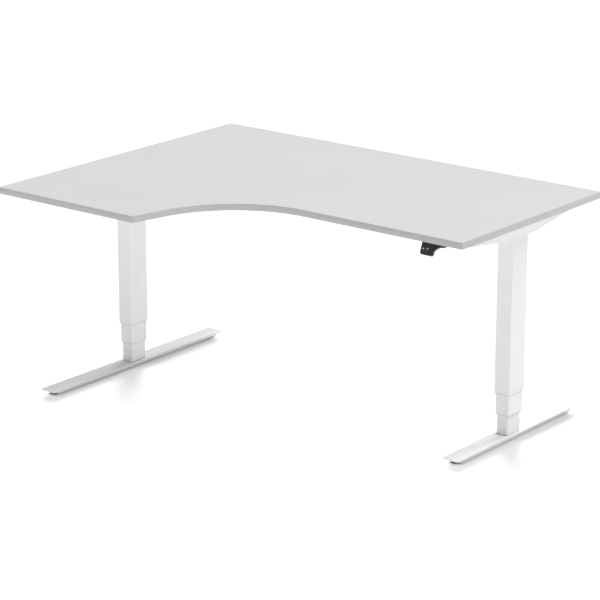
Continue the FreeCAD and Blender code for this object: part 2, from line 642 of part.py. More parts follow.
def rails(screws):
    left, right = arm_face("left")[0], arm_face("right")[0]
    span = f"({right} - {left})"
    sleeve_length = f"({span} + rail_overlap) / 2"
    inner_wide = "(rail_wide - 2 * rail_wall - 2 * rail_fit)"
    inner_high = "(rail_high - 2 * rail_wall - 2 * rail_fit)"
    for rail in RAILS:
        y = f"(top_depth / 2 - {rail}_back)"
        holes = []
        for i, step in enumerate((-1, 1)):
            spot = rail_screw_spot(rail, step)
            screws.append(screw(f"left_{rail}_screw{i}", **FRAME_SCREW,
                                x=f"{left} - arm_sheet", y=spot[0], z=spot[1], along="x", way=1))
            screws.append(screw(f"right_{rail}_screw{i}", **FRAME_SCREW,
                                x=f"{right} + arm_sheet", y=spot[0], z=spot[1], along="x", way=-1))
            holes.append(round_bar(f"{rail}_tapping{i}", FRAME_SCREW["shank_radius"],
                                   f"{span} + 20", f"{left} - 10", *spot, "x"))
        sleeve = rail_tube(rail + "_outer", "rail_wide", "rail_high", left, sleeve_length, y, -1)
        node(cut(rail + "_sleeve_part", sleeve, *holes), rail + "_sleeve")
        inner = rail_tube(rail + "_inner", inner_wide, inner_high,
                          f"{right} - {sleeve_length}", sleeve_length, y, 1)
        node(cut(rail + "_inner_part", inner, *holes), rail + "_tube")


# ----------------------------------------------------------------- control box
BOX_Y = "(top_depth / 2 - box_back)"
BOX_FRONT = f"({BOX_Y} - box_deep / 2)"
BOX_BACK = f"({BOX_Y} + box_deep / 2)"
BOX_FOOT = f"({UNDER} - box_high)"
SOCKET_LOW = f"({BOX_FOOT} + 9)"
LID_THICK = "3"
SMALL_SCREW = {"head_radius": "4", "head_high": "2.5", "shank_radius": "1.75",
               "shank_length": "14"}
EAR = "14"
INLET_RISE = "6"


def socket_x(index):
    return f"(box_x - {index + 1} * socket_pitch)"


def box_screw_places():
    return [(f"box_x + {step_x} * (box_wide / 2 + {EAR} / 2)",
             f"{BOX_Y} + {step_y} * (box_deep / 2 - 12)", f"({UNDER} - {LID_THICK})")
            for step_x in (-1, 1) for step_y in (-1, 1)]


def control_box():
    outside = block("cover_outside", "box_wide", "box_deep", f"box_high - {LID_THICK}",
                    "box_x", BOX_Y, BOX_FOOT)
    inside = block("cover_inside", "box_wide - 2 * box_wall", "box_deep - 2 * box_wall",
                   "box_high", "box_x", BOX_Y, f"{BOX_FOOT} + box_wall")
    windows = [block(f"socket_window{i}", "socket_wide + 0.6", "4 * box_wall",
                     "socket_high + 0.6", socket_x(i), BOX_FRONT, f"{SOCKET_LOW} - 0.3")
               for i in range(3)]
    inlet_window = block("inlet_window", "inlet_wide", "4 * box_wall", "inlet_high",
                         "box_x", BOX_BACK, f"{BOX_FOOT} + {INLET_RISE}")
    node(cut("cover", outside, inside, *windows, inlet_window), "control_box_cover")
    lid = block("lid_plate", f"box_wide + 2 * {EAR}", "box_deep", LID_THICK, "box_x", BOX_Y,
                f"{UNDER} - {LID_THICK}")
    screws, holes = [], []
    for i, (x, y, z) in enumerate(box_screw_places()):
        screws.append(screw(f"box_screw{i}", **SMALL_SCREW, x=x, y=y, z=z, along="z", way=1))
        holes.append(round_bar(f"lid_hole{i}", "2", "10", x, y, f"{UNDER} - 5"))
    node(cut("lid", lid, *holes), "control_box_base")
    board = block("board_plate", "box_wide - 16", "box_deep - 34", "1.6", "box_x",
                  f"{BOX_Y} - 14", f"{BOX_FOOT} + 7.5")
    sockets = [block(f"board_socket{i}", "socket_wide", "16", "socket_high", socket_x(i),
                     f"{BOX_FRONT} + 8", SOCKET_LOW) for i in range(3)]
    choke = block("board_choke", "34", "28", "18", "box_x + 60", f"{BOX_Y} - 14", SOCKET_LOW)
    caps = [round_bar(f"board_cap{i}", "7", "20", f"box_x + {10 - 18 * i}", f"{BOX_Y} - 8",
                      SOCKET_LOW) for i in range(2)]
    mouths = [round_bar(f"socket_mouth{i}", "motor_lead_radius + 0.1", "8", socket_x(i),
                        f"{BOX_FRONT} - 1", f"{SOCKET_LOW} + socket_high / 2", "y")
              for i in range(3)]
    node(cut("board", join("board_blank", board, *sockets, choke, *caps), *mouths),
         "control_board")
    shell = block("inlet_shell", "inlet_wide", "24", "inlet_high", "box_x",
                  f"{BOX_BACK} - 12", f"{BOX_FOOT} + {INLET_RISE}")
    cavity = block("inlet_cavity", "inlet_wide - 4", "20", "inlet_high - 4", "box_x",
                   f"{BOX_BACK} - 8", f"{BOX_FOOT} + 8")
    pins = [block(f"inlet_pin{i}", "2", "10", "4", f"box_x + {7 * (i - 1)}",
                  f"{BOX_BACK} - 15", f"{BOX_FOOT} + {13 + (3 if i == 1 else 0)}")
            for i in range(3)]
    node(join("inlet", cut("inlet_case", shell, cavity), *pins), "mains_inlet")
    return screws


# -------------------------------------------------------------------- handset
HANDSET_Y = f"({FRONT_Y} + handset_setback)"
HANDSET_FROM_MIDDLE = 800
RIGHT_SHIFT = f"(top_width / 2 - {HANDSET_FROM_MIDDLE})"
LEAD_EXIT_X = f"(handset_x + {RIGHT_SHIFT} + 14)"
FACE_FOOT_ROUND = 8
NECK = 58


def leaned(item, x=0.0, y=0.0, z=0.0):
    """Puts a piece drawn on an upright face onto the face that leans forward."""
    turn = FreeCAD.Rotation(Vec(1, 0, 0), -number("handset_lean"))
    corner = Vec(number(f"handset_x + {RIGHT_SHIFT}"), number(HANDSET_Y), number(UNDER))
    item.Placement = FreeCAD.Placement(corner, turn) * FreeCAD.Placement(
        Vec(x, y, z), FreeCAD.Rotation())
    return item


def sized_block(name, wide, deep, high):
    item = doc.addObject("Part::Box", name)
    bind(item, "Length", wide)
    bind(item, "Width", deep)
    bind(item, "Height", high)
    return item


def round_edges(body, base, radius, spots):
    """Fillets a pad's edges that run along Y through the given X, Z spots."""
    doc.recompute()
    edges = []
    for i, edge in enumerate(base.Shape.Edges, 1):
        start, end = edge.Vertexes[0].Point, edge.Vertexes[-1].Point
        along_y = abs(start.x - end.x) < 1e-6 and abs(start.z - end.z) < 1e-6
        if along_y and any(math.hypot(start.x - x, start.z - z) < 0.01 for x, z in spots):
            edges.append(f"Edge{i}")
    item = body.newObject("PartDesign::Fillet", body.Name + f"_round{len(body.Group)}")
    item.Base = (base, edges)
    item.Radius = radius
    return item


def handset_screw_places():
    return [(f"handset_x + {RIGHT_SHIFT} + {shift}", f"{HANDSET_Y} + 40", f"({UNDER} - 8)")
            for shift in (28, 66)]


def key_left(index):
    return f"(face_inset + 1.5 + {index} * key_pitch)"


KEY_TOP = "(handset_drop / 2 + key_high / 2 + 1.5)"


def handset(screws):
    body = doc.addObject("PartDesign::Body", "handset_paddle")
    outline = sketch_on(body, "handset_outline", "XZ_Plane")
    lift = "6"
    polygon(outline, (("0", lift), ("0", "-handset_drop"), ("handset_wide", "-handset_drop"),
                      ("handset_wide", "-handset_drop * 0.6"),
                      (f"handset_wide + {NECK - 46}", "-handset_drop * 0.34"),
                      ("handset_wing", "-4"), ("handset_wing", lift)))
    pad = body.newObject("PartDesign::Pad", "handset_paddle_pad")
    pad.Profile = outline
    pad.Reversed = True
    bind(pad, "Length", "handset_thick")
    wide, drop = number("handset_wide"), number("handset_drop")
    soft = round_edges(body, pad, FACE_FOOT_ROUND, ((0, -drop), (wide, -drop)))
    soft = round_edges(body, soft, FACE_FOOT_ROUND / 2, ((wide, -drop * 0.6),))
    leaned(body)
    mount = block("handset_mount", "handset_wing - 8", "50", "14",
                  f"handset_x + {RIGHT_SHIFT} + handset_wing / 2", f"{HANDSET_Y} + 34",
                  f"{UNDER} - 14")
    above = block("handset_above", "200", "200", "60", f"handset_x + {RIGHT_SHIFT} + 40",
                  HANDSET_Y, UNDER)
    depth = "(face_thick + key_thick + 4)"
    seat = leaned(sized_block("face_seat", "handset_wide - 2 * face_inset", "face_thick + 1",
                              "handset_drop - 9"),
                  number("face_inset"), -1, -number("handset_drop - face_inset"))
    well = leaned(sized_block("key_well", "2 * key_pitch + 1", depth, "key_high + 4"),
                  number(f"{key_left(0)} - 1.5"), 0.1, -number(f"{KEY_TOP} + 2"))
    lead_hole = round_bar("handset_lead_hole", "handset_lead_radius + 0.1", "12",
                          LEAD_EXIT_X, f"{HANDSET_Y} + 50", f"{UNDER} - 6", "y")
    holes = []
    for i, (x, y, z) in enumerate(handset_screw_places()):
        screws.append(screw(f"handset_screw{i}", **SMALL_SCREW, x=x, y=y, z=z, along="z", way=1))
        holes.append(round_bar(f"handset_hole{i}", "2", "20", x, y, f"{UNDER} - 16"))
        holes.append(round_bar(f"handset_sink{i}", "4.5", "10", x, y, f"{UNDER} - 18"))
    blank = join("handset_blank", body, mount)
    node(cut("handset_part", blank, above, seat, well, lead_hole, *holes), "handset_housing")
    face = leaned(sized_block("face_blank", "handset_wide - 2 * face_inset - 0.2", "face_thick",
                              "handset_drop - 9.2"),
                  number("face_inset + 0.1"), 0, -number("handset_drop - face_inset - 0.1"))
    windows = []
    for i, label in enumerate(("up_key", "down_key")):
        windows.append(leaned(
            sized_block(label + "_window", "key_wide + 2 * key_gap", "face_thick + 2",
                        "key_high + 2 * key_gap"),
            number(f"{key_left(i)} - key_gap"), -1, -number(f"{KEY_TOP} + key_gap")))
        key = sized_block(label + "_cap", "key_wide", "key_thick", "key_high")
        node(leaned(key, number(key_left(i)), -number("key_proud"), -number(KEY_TOP)), label)
    node(cut("face", face, *windows), "handset_face")
    board = sized_block("handset_board_blank", "2 * key_pitch", "1.2", "key_high + 3")
    node(leaned(board, number(f"{key_left(0)} - 1"), number(f"{depth} - 1.2"),
                -number(f"{KEY_TOP} + 1.5")), "handset_board")


# ----------------------------------------------------------------------- leads
def lead(label, radius, points):
    """A round lead along straight runs joined by tangent arcs."""
    edges = []
    start = points[0]
    for before, corner, after in zip(points, points[1:], points[2:]):
        back, ahead = (before - corner), (after - corner)
        turn = math.pi - back.getAngle(ahead)
        short = min(back.Length, ahead.Length)
        bend = min(0.45 * short / math.tan(turn / 2), LEAD_BEND)
        trim = bend * math.tan(turn / 2)
        back.normalize()
        ahead.normalize()
        first, last = corner + back * trim, corner + ahead * trim
        centre = corner + (back + ahead).normalize() * (bend / math.cos(turn / 2))
        middle = centre + (corner - centre).normalize() * bend
        edges.append(Part.LineSegment(start, first).toShape())
        edges.append(Part.Arc(first, middle, last).toShape())
        start = last
        print(f"{label}: bend radius {bend:.1f}")
    edges.append(Part.LineSegment(start, points[-1]).toShape())
    path = Part.Wire(edges)
    way = points[1] - points[0]
    ring = Part.Wire(Part.Circle(points[0], way, radius).toShape())
    item = doc.addObject("Part::Feature", label + "_run")
    item.Shape = path.makePipeShell([ring], True, True)
    section = math.pi * radius ** 2
    drift = abs(item.Shape.Volume / (section * path.Length) - 1)
    print(f"{label}: length {path.Length:.0f} mm, volume off by {drift:.4f}")
    if drift > 0.01:
        raise RuntimeError(f"{label}: the lead's volume is wrong")
    return node(item, label)


LEAD_BEND = 40
LANE_STEP = 10
CLIP_SHARES = (0.2, 0.5, 0.8)


def leads():
    radius = number("motor_lead_radius")
    under = number(UNDER)
    run_z = under - radius - 1
    hole_z = number(f"{UNDER} - rail_drop * 2")
    plug_z = number(f"{SOCKET_LOW} + socket_high / 2")
    front = number(BOX_FRONT)
    lane = {"left": front - number("lane_gap"), "right": front - number("lane_gap") + LANE_STEP}
    clips = []
    for index, side in enumerate(("left", "right")):
        way = 1 if side == "left" else -1
        begin = Vec(number(arm_face(side)[0]), number(LEGS[side][1]), hole_z)
        plug = Vec(number(socket_x(2 * (1 - index))), front, plug_z)
        turn_x = begin.x + way * 90
        points = [begin, begin + Vec(way * 30, 0, 0), Vec(turn_x, begin.y, run_z),
                  Vec(turn_x + way * 60, lane[side], run_z),
                  Vec(plug.x - way * 40, lane[side], run_z),
                  Vec(plug.x, front - 22, (run_z + plug_z) / 2), plug]
        lead(side + "_motor_lead", radius, points)
        near, far = points[3].x, points[4].x
        for i, share in enumerate(CLIP_SHARES):
            clips.append((f"{side}_clip{i}", near + share * (far - near), lane[side], radius))
    thin = number("handset_lead_radius")
    begin = Vec(number(LEAD_EXIT_X), number(f"{HANDSET_Y} + 59"), under - 6)
    plug = Vec(number(socket_x(1)), front, plug_z)
    thin_z = under - thin - 0.5
    lane_y = lane["left"] - LANE_STEP
    points = [begin, begin + Vec(0, 20, 0), begin + Vec(-50, 60, thin_z - begin.z),
              Vec(begin.x - 150, lane_y, thin_z), Vec(plug.x + 40, lane_y, thin_z),
              Vec(plug.x, front - 24, (thin_z + plug_z) / 2), plug]
    lead("handset_lead", thin, points)
    shells = []
    for name, x, y, size in clips:
        saddle = block(name + "_saddle", "10", "4 * motor_lead_radius", "2.4 * motor_lead_radius",
                       str(x), str(y), f"{UNDER} - 2.4 * motor_lead_radius - 0.01")
        groove = block(name + "_groove", "12", f"{2 * size}", f"{2 * size + 2}", str(x), str(y),
                       str(run_z - size))
        shells.append(cut(name, saddle, groove))
    node(group("clip_set", shells), "lead_clips")


# ---------------------------------------------------------------- the assembly
desk_top()
frame_screws = []
for side in LEGS:
    arm(side)
    column_head(side)
    column(side)
    drive(side)
    foot(side)
    face, way = arm_face(side)
    for i, (along, down) in enumerate(ARM_SCREW_SPOTS):
        frame_screws.append(screw(f"{side}_arm_screw{i}", **FRAME_SCREW, x=face,
                                  y=f"{LEGS[side][1]} + {along}", z=f"{UNDER} - {down}",
                                  along="x", way=way))
rails(frame_screws)
node(group("frame_screw_set", frame_screws), "frame_screws")
small_screws = control_box()
handset(small_screws)
node(group("small_screw_set", small_screws), "small_screws")
leads()
doc.removeObject("probe")
doc.recompute()

for item in doc.Objects:
    if "Invalid" in item.State or "Error" in item.State:
        raise RuntimeError(f"{item.Label} failed: {item.State}")
for item in nodes:
    if item.Shape.isNull() or not item.Shape.isValid():
        raise RuntimeError(f"{item.Label} has no valid shape")
for item in nodes:
    item.Shape.exportStep(f"parts/{item.Label}.step")
print(len(nodes), "sub-parts written")
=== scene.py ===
"""Finish and staging of a height adjustable corner desk.

The desk's frame is loaded once.  Each operator then makes one group of its pieces, or
finishes the parts that stay as they are.  Lengths are metres, +Z is up, +X is to the
user's right and +Y is to the back edge.
"""

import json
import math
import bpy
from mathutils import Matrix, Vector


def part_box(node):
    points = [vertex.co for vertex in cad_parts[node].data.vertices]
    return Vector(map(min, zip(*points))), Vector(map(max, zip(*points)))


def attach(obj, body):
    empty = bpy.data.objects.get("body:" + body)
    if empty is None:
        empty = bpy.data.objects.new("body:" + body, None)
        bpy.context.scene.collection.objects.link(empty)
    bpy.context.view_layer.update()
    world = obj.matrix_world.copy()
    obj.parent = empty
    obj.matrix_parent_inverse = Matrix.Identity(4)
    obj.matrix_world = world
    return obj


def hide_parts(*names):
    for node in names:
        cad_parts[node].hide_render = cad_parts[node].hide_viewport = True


bl_info = {
    "name": "Height Adjustable Corner Desk",
    "version": (1, 0, 0),
    "blender": (4, 5, 0),
    "location": "3D View > Sidebar > Desk",
    "description": "Makes the finished pieces of a height adjustable corner desk",
    "category": "Object",
}

import bmesh
import bpy
from bpy.props import FloatProperty, FloatVectorProperty, IntProperty, PointerProperty
from mathutils import Matrix, Vector

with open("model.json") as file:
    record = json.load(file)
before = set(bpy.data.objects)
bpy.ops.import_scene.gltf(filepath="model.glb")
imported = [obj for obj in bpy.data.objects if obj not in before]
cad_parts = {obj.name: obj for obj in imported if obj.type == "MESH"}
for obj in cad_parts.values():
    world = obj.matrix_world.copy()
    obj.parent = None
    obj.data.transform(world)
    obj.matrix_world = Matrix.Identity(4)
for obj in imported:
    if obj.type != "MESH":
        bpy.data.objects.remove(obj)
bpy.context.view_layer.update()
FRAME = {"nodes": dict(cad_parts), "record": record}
BODY_OF = {
    node: body
    for body, members in FRAME["record"]["behaviour"]["bodies"].items()
    for node in members
}
SIDES = ("left", "right")
TUBE_CORNER_RADIUS = 0.005
HANDSET_LEAN = math.radians(22)
ALONG_X = Vector((1, 0, 0))
WELD = 1e-6             # vertices closer than this are one
LEVEL = 1e-5            # points within this of each other lie on one face

# radius on the edges of each part that has no setting, and the segments round it
EASED = {
    "column_head": (0.0008, 2),
    "gear_motor": (0.0015, 3),
    "leveller": (0.001, 3),
    "control_box_cover": (0.0012, 3),
    "control_box_base": (0.0005, 2),
    "mains_inlet": (0.0004, 2),
    "handset_face": (0.0003, 2),
    "key": (0.0006, 3),
}


# ------------------------------------------------------------------ properties
def colour(name, description, value):
    return FloatVectorProperty(name=name, description=description, default=value,
                               subtype="COLOR", size=3, min=0, max=1)


def length(name, description, value):
    return FloatProperty(name=name, description=description, default=value,
                         unit="LENGTH", precision=4, min=0)


class DeskTopSettings(bpy.types.PropertyGroup):
    laminate: colour("Laminate", "Colour of the top's laminate", (0.605, 0.605, 0.594))
    band: colour("Edge band", "Colour of the edge band", (0.54, 0.545, 0.525))
    band_round: length("Band rounding", "Radius along both rims of the edge band", 0.0012)
    speckle: length("Speckle", "Size of the laminate's fine speckle", 0.0011)


class SteelworkSettings(bpy.types.PropertyGroup):
    paint: colour("Paint", "Colour of the powder coat", (0.88, 0.88, 0.878))
    peel: length("Peel", "Size of the powder coat's soft dimples", 0.0012)
    lip: length("Tube lip", "Radius round the lower rim of each tube", 0.0014)
    tube_wall: length("Tube wall", "Wall of the tubes", 0.0018)
    sheet_round: length("Sheet edges", "Radius on the edges of the folded sheets", 0.0006)
    foot_round: length("Foot edges", "Radius on the edges of the foot plates", 0.0006)


class FixingSettings(bpy.types.PropertyGroup):
    recess_share: FloatProperty(name="Recess", description="Drive recess across its corners, "
                                "as a share of the head's diameter", default=0.52,
                                min=0.2, max=0.8)
    recess_deep: FloatProperty(name="Recess depth", description="Drive recess, as a share of "
                               "the head's height", default=0.55, min=0.1, max=0.9)
    facets: IntProperty(name="Facets", description="Facets round a head and a shank",
                        default=28, min=12, max=64)


class HandsetSettings(bpy.types.PropertyGroup):
    housing: colour("Housing", "Colour of the handset's housing", (0.006, 0.006, 0.0065))
    face: colour("Face", "Colour of the face plate", (0.03, 0.03, 0.032))
    keys: colour("Keys", "Colour of both keys", (0.036, 0.036, 0.039))
    sign: colour("Arrows", "Colour of the printed arrows", (0.8, 0.8, 0.8))
    edge_round: length("Edges", "Radius on the housing's edges", 0.0009)
    arrow_wide: length("Arrow width", "Width of one printed arrow", 0.0066)
    arrow_high: length("Arrow height", "Height of one printed arrow", 0.0054)


class StageSettings(bpy.types.PropertyGroup):
    azimuth: FloatProperty(name="Azimuth", description="Camera's turn round the desk",
                           default=math.radians(38.58), subtype="ANGLE")
    elevation: FloatProperty(name="Elevation", description="Camera above the horizon",
                             default=math.radians(17.10), subtype="ANGLE")
    distance: length("Distance", "Camera to the point that it looks at", 8.427)
    lens: FloatProperty(name="Lens", description="Focal length in millimetres on a "
                        "36 mm sensor", default=150.66)
    aim_high: length("Aim height", "Height of the point that the camera looks at", 0.388)
    aim_right: length("Aim right", "Step of that point to the camera's right", 0.0029)
    aim_down: length("Aim down", "Step of that point along the camera's down", 0.0035)
    key_light: FloatProperty(name="Key light", description="Strength of the key light",
                             default=1.6, min=0)
    back_light: FloatProperty(name="Back light", description="Strength of the light from "
                              "behind the desk", default=1.6, min=0)
    spread: FloatProperty(name="Spread", description="Angle that the key light and the back "
                          "light each seem to fill", default=math.radians(48), subtype="ANGLE")
    sky: FloatProperty(name="Fill light", description="Strength of the light all round",
                       default=0.35, min=0)
    floor_wash: FloatProperty(name="Floor wash", description="Light that the low lights "
                              "give to the open floor", default=1.25, min=0)


# ------------------------------------------------------------------- materials
class Finish:
    """A procedural finish: one shader, with patterns in the object's own space."""

    def __init__(self, name, base, roughness, metallic=0.0):
        self.material = bpy.data.materials.new(name)
        self.material.use_nodes = True
        self.tree = self.material.node_tree
        self.shader = self.tree.nodes["Principled BSDF"]
        self.shader.inputs["Base Color"].default_value = (*base, 1)
        self.shader.inputs["Roughness"].default_value = roughness
        self.shader.inputs["Metallic"].default_value = metallic
        self.material.diffuse_color = (*base, 1)
        self.base = base
        self.place = self.tree.nodes.new("ShaderNodeTexCoord").outputs["Object"]
        self.relief = None

    def node(self, kind, **values):
        item = self.tree.nodes.new(kind)
        for key, value in values.items():
            setattr(item, key, value)
        return item

    def link(self, start, end):
        self.tree.links.new(start, end)

    def stretched(self, scale):
        """The object's space with each axis scaled, for a pattern with a direction."""
        mapping = self.node("ShaderNodeMapping")
        mapping.inputs["Scale"].default_value = scale
        self.link(self.place, mapping.inputs["Vector"])
        return mapping.outputs["Vector"]

    def noise(self, grain, detail=3.0, space=None, harsh=0.5):
        """A noise whose features are about grain metres across."""
        item = self.node("ShaderNodeTexNoise")
        item.inputs["Scale"].default_value = 1 / grain
        item.inputs["Detail"].default_value = detail
        item.inputs["Roughness"].default_value = harsh
        self.link(space or self.place, item.inputs["Vector"])
        return item.outputs["Fac"]

    def spread(self, value, low, high, start=0.3, end=0.7):
        """Maps the middle of a pattern onto a range."""
        item = self.node("ShaderNodeMapRange")
        for name, number in (("From Min", start), ("From Max", end),
                             ("To Min", low), ("To Max", high)):
            item.inputs[name].default_value = number
        self.link(value, item.inputs["Value"])
        return item.outputs["Result"]

    def tint(self, value, other, weight):
        """Mixes the base colour with another, by a pattern and up to a weight."""
        mix = self.node("ShaderNodeMix", data_type="RGBA")
        before = self.shader.inputs["Base Color"]
        if before.is_linked:
            self.link(before.links[0].from_socket, mix.inputs["A"])
        else:
            mix.inputs["A"].default_value = (*self.base, 1)
        mix.inputs["B"].default_value = (*other, 1)
        self.link(self.spread(value, 0.0, weight), mix.inputs["Factor"])
        self.link(mix.outputs["Result"], before)
        return self

    def rough(self, value, low, high):
        self.link(self.spread(value, low, high), self.shader.inputs["Roughness"])
        return self

    def bump(self, value, height, strength=1.0):
        """Adds relief of that height in metres under what was added before."""
        item = self.node("ShaderNodeBump")
        item.inputs["Distance"].default_value = height
        item.inputs["Strength"].default_value = strength
        self.link(value, item.inputs["Height"])
        if self.relief:
            self.link(self.relief, item.inputs["Normal"])
        self.relief = item.outputs["Normal"]
        self.link(self.relief, self.shader.inputs["Normal"])
        return self


def shade(base, factor):
    """A colour made lighter or darker."""
    return tuple(min(1.0, c * factor) for c in base)


def laminate_finish(settings):
    finish = Finish("matt_laminate", settings.laminate, roughness=0.52)
    speckle = finish.noise(grain=settings.speckle, detail=2.0, harsh=0.7)
    finish.tint(speckle, shade(settings.laminate, 0.955), weight=0.8)
    finish.tint(finish.noise(grain=0.35, detail=2.0), shade(settings.laminate, 1.02), weight=0.6)
    finish.rough(finish.noise(grain=0.02, detail=4.0), low=0.47, high=0.57)
    finish.bump(speckle, height=0.00002, strength=0.5)
    finish.shader.inputs["Specular IOR Level"].default_value = 0.35
    return finish.material


def band_finish(settings):
    finish = Finish("edge_band_plastic", settings.band, roughness=0.45)
    grain = finish.noise(grain=0.0007, detail=2.0)
    finish.tint(grain, shade(settings.band, 0.95), weight=0.7)
    finish.rough(finish.noise(grain=0.012, detail=3.0), low=0.4, high=0.5)
    finish.bump(grain, height=0.00002, strength=0.4)
    finish.shader.inputs["Specular IOR Level"].default_value = 0.4
    return finish.material


def underside_finish():
    finish = Finish("backing_laminate", (0.6, 0.6, 0.59), roughness=0.6)
    fibre = finish.noise(grain=0.003, detail=4.0,
                         space=finish.stretched((1.0, 0.3, 1.0)))
    finish.tint(fibre, (0.54, 0.54, 0.53), weight=0.5)
    finish.bump(finish.noise(grain=0.0015, detail=2.0), height=0.00003, strength=0.5)
    return finish.material


def powder_coat_finish(settings):
    finish = Finish("white_powder_coat", settings.paint, roughness=0.4)
    peel = finish.noise(grain=settings.peel, detail=2.0)
    finish.tint(finish.noise(grain=0.06, detail=3.0), shade(settings.paint, 0.985), weight=0.8)
    finish.rough(finish.noise(grain=0.004, detail=3.0), low=0.36, high=0.45)
    finish.bump(peel, height=0.00003, strength=0.5)
    finish.shader.inputs["Coat Weight"].default_value = 0.08
    finish.shader.inputs["Coat Roughness"].default_value = 0.3
    return finish.material


def cast_finish():
    finish = Finish("cast_aluminium", (0.55, 0.56, 0.57), roughness=0.5, metallic=1.0)
    skin = finish.noise(grain=0.0016, detail=5.0)
    finish.tint(finish.noise(grain=0.01, detail=3.0), (0.45, 0.46, 0.47), weight=0.6)
    finish.rough(skin, low=0.42, high=0.62)
    finish.bump(skin, height=0.00012, strength=0.7)
    return finish.material


def moulded_finish(name, base, roughness=0.5):
    """Moulded plastic with a fine spark-eroded texture."""
    finish = Finish(name, base, roughness)
    texture = finish.noise(grain=0.0005, detail=2.0, harsh=0.6)
    finish.tint(finish.noise(grain=0.008, detail=3.0), shade(base, 1.12), weight=0.6)
    finish.rough(texture, low=roughness - 0.06, high=roughness + 0.07)
    finish.bump(texture, height=0.00003, strength=0.6)
    return finish.material


def painted_black_finish():
    finish = Finish("black_paint", (0.022, 0.022, 0.024), roughness=0.42)
    finish.tint(finish.noise(grain=0.02, detail=3.0), (0.034, 0.034, 0.036), weight=0.7)
    finish.rough(finish.noise(grain=0.003, detail=3.0), low=0.36, high=0.5)
    finish.bump(finish.noise(grain=0.001, detail=2.0), height=0.00004, strength=0.5)
    return finish.material


WAVE_BANDS = 20         # bands of a wave texture along 2 pi metres, at a scale of 1


def rolled_thread_finish(pitch):
    """Ground steel with the spindle's thread as relief along Z."""
    finish = Finish("rolled_thread_steel", (0.56, 0.57, 0.58), roughness=0.28, metallic=1.0)
    wave = finish.node("ShaderNodeTexWave", wave_type="BANDS", bands_direction="Z",
                       wave_profile="SAW")
    wave.inputs["Scale"].default_value = 2 * math.pi / (WAVE_BANDS * pitch)
    finish.link(finish.place, wave.inputs["Vector"])
    finish.tint(finish.noise(grain=0.015, detail=4.0), (0.42, 0.43, 0.44), weight=0.6)
    finish.rough(finish.noise(grain=0.003, detail=3.0), low=0.22, high=0.38)
    finish.bump(wave.outputs["Fac"], height=0.0008, strength=0.8)
    return finish.material


def zinc_finish():
    finish = Finish("zinc_plate", (0.62, 0.63, 0.65), roughness=0.34, metallic=1.0)
    finish.tint(finish.noise(grain=0.004, detail=4.0), (0.5, 0.52, 0.55), weight=0.7)
    finish.rough(finish.noise(grain=0.0012, detail=3.0), low=0.28, high=0.42)
    finish.bump(finish.noise(grain=0.0008, detail=2.0), height=0.00002, strength=0.4)
    return finish.material


def rubber_finish(name, base):
    finish = Finish(name, base, roughness=0.62)
    skin = finish.noise(grain=0.0006, detail=3.0)
    finish.tint(finish.noise(grain=0.03, detail=3.0), shade(base, 1.4), weight=0.6)
    finish.rough(skin, low=0.55, high=0.7)
    finish.bump(skin, height=0.00003, strength=0.6)
    return finish.material


def circuit_finish():
    """Green solder resist with paler tracks on a square grid."""
    finish = Finish("solder_resist", (0.012, 0.09, 0.04), roughness=0.35)
    tracks = finish.node("ShaderNodeTexBrick")
    tracks.inputs["Scale"].default_value = 120.0
    tracks.inputs["Mortar Size"].default_value = 0.05
    finish.link(finish.place, tracks.inputs["Vector"])
    finish.tint(tracks.outputs["Fac"], (0.05, 0.2, 0.1), weight=0.8)
    finish.bump(tracks.outputs["Fac"], height=0.00003, strength=0.6)
    return finish.material


def sign_finish(settings):
    finish = Finish("printed_sign", settings.sign, roughness=0.5)
    finish.tint(finish.noise(grain=0.0004, detail=2.0), shade(settings.sign, 0.9), weight=0.6)
    return finish.material


SPINDLE_PITCH = 0.003
FINISHES = {}


def finish_of(name):
    """Each finish is made once, when the first piece asks for it."""
    scene = bpy.context.scene
    makers = {
        "laminate": lambda: laminate_finish(scene.desk_top),
        "band": lambda: band_finish(scene.desk_top),
        "underside": underside_finish,
        "paint": lambda: powder_coat_finish(scene.desk_steelwork),
        # painted shade: the paint at 0.3 of its brightness, standing for the shadow line under
        # each tube's rim
        "lip": lambda: moulded_finish("lip_painted_shade", shade(scene.desk_steelwork.paint, 0.3)),
        "cast": cast_finish,
        "nut": lambda: moulded_finish("nut_plastic", (0.02, 0.02, 0.022), 0.45),
        "glide": lambda: moulded_finish("glide_plastic", (0.62, 0.62, 0.6), 0.4),
        "motor": painted_black_finish,
        "thread": lambda: rolled_thread_finish(SPINDLE_PITCH),
        "zinc": zinc_finish,
        "leveller": lambda: rubber_finish("leveller_rubber", (0.014, 0.014, 0.014)),
        "sheath": lambda: rubber_finish("lead_sheath", (0.018, 0.018, 0.018)),
        "box": lambda: moulded_finish("box_plastic", (0.028, 0.028, 0.03), 0.55),
        "circuit": circuit_finish,
        "housing": lambda: moulded_finish("housing_plastic", scene.desk_handset.housing, 0.42),
        "face": lambda: moulded_finish("face_plastic", scene.desk_handset.face, 0.38),
        "key": lambda: moulded_finish("key_plastic", scene.desk_handset.keys, 0.34),
        "sign": lambda: sign_finish(scene.desk_handset),
    }
    if name not in FINISHES:
        FINISHES[name] = makers[name]()
    return FINISHES[name]


# ---------------------------------------------------------------- mesh helpers
SMOOTH_ANGLE = math.radians(35)


def finished_piece(name, bm, node, finish):
    """Turns mesh work into a piece that stands for a node and rides on its body."""
    mesh = bpy.data.meshes.new(name)
    bm.to_mesh(mesh)
    bm.free()
    piece = bpy.data.objects.new(name, mesh)
    bpy.context.scene.collection.objects.link(piece)
    mesh.materials.append(finish_of(finish))
    mesh.shade_smooth()
    mesh.set_sharp_from_angle(angle=SMOOTH_ANGLE)
    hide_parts(node)
    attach(piece, BODY_OF[node])
    return piece


FLAT_ANGLE = math.radians(0.5)


